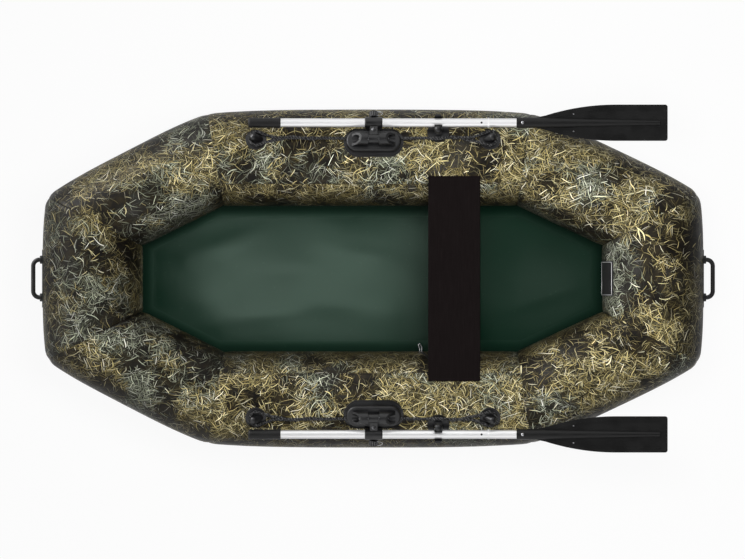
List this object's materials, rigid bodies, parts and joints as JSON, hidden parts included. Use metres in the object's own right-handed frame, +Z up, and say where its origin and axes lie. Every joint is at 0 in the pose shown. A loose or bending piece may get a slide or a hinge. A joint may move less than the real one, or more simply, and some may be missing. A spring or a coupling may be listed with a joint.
{
  "type": "inflatable rowing boat",
  "caption": "Open inflatable rowing boat: mitred air tubes round a sheet floor, board seat, folding oarlocks with stowed oars, clips, grab lines and carry handles.",
  "frame": {"origin": "on the ground under the middle of the boat", "axes": "+X towards the bow, +Y to port, +Z up"},
  "size_m": [2.176, 1.103, 0.3518],
  "materials": {
    "camo_skin": "coated fabric with a dry-grass camouflage print, satin",
    "floor_skin": "dark green coated fabric, satin",
    "seat_board": "dark stained board, matt",
    "patch": "black rubber patch, matt",
    "handle": "black moulded rubber",
    "fitting": "black moulded plastic, matt",
    "pin_steel": "plain steel",
    "shaft_metal": "satin drawn aluminium tube",
    "joint_plastic": "pale grey plastic ring",
    "grip": "black moulded grip",
    "blade": "black moulded plastic, fine grain",
    "rope": "black braided rope"
  },
  "bodies": {
    "hull": {"bow_handle": "handle", "bow_handle_patch": "patch", "floor": "floor_skin", "floor_bands": "floor_skin", "port_air_valve": "fitting", "port_bow_eyelet": "fitting", "port_bow_grab_line": "rope", "port_oar_clip": "fitting", "port_oarlock_base": "fitting", "port_oarlock_hinge_pin": "pin_steel", "port_seat_saddle": "fitting", "port_stern_eyelet": "fitting", "port_stern_grab_line": "rope", "seat": "seat_board", "starboard_air_valve": "fitting", "starboard_bow_eyelet": "fitting", "starboard_bow_grab_line": "rope", "starboard_oar_clip": "fitting", "starboard_oarlock_base": "fitting", "starboard_oarlock_hinge_pin": "pin_steel", "starboard_seat_saddle": "fitting", "starboard_stern_eyelet": "fitting", "starboard_stern_grab_line": "rope", "stern_handle": "handle", "stern_handle_patch": "patch", "tube_bow": "camo_skin", "tube_bow_port": "camo_skin", "tube_bow_starboard": "camo_skin", "tube_port": "camo_skin", "tube_starboard": "camo_skin", "tube_stern": "camo_skin", "tube_stern_port": "camo_skin", "tube_stern_starboard": "camo_skin"},
    "port_oar": {"port_oar_blade": "blade", "port_oar_collar": "fitting", "port_oar_grip": "grip", "port_oar_inner_shaft": "shaft_metal", "port_oar_joint_ring": "joint_plastic", "port_oar_knob": "fitting", "port_oar_outer_shaft": "shaft_metal", "port_oarlock_tongue": "fitting"},
    "starboard_oar": {"starboard_oar_blade": "blade", "starboard_oar_collar": "fitting", "starboard_oar_grip": "grip", "starboard_oar_inner_shaft": "shaft_metal", "starboard_oar_joint_ring": "joint_plastic", "starboard_oar_knob": "fitting", "starboard_oar_outer_shaft": "shaft_metal", "starboard_oarlock_tongue": "fitting"}
  },
  "joints": [
    {"name": "port_oar_lift", "type": "hinge", "parent": "hull", "child": "port_oar", "pos_m": [0.002, 0.4426, 0.3318], "axis": [1, 0, 0], "range_deg": [0, 180]},
    {"name": "starboard_oar_lift", "type": "hinge", "parent": "hull", "child": "starboard_oar", "pos_m": [0.002, -0.4426, 0.3318], "axis": [-1, 0, 0], "range_deg": [0, 180]}
  ]
}
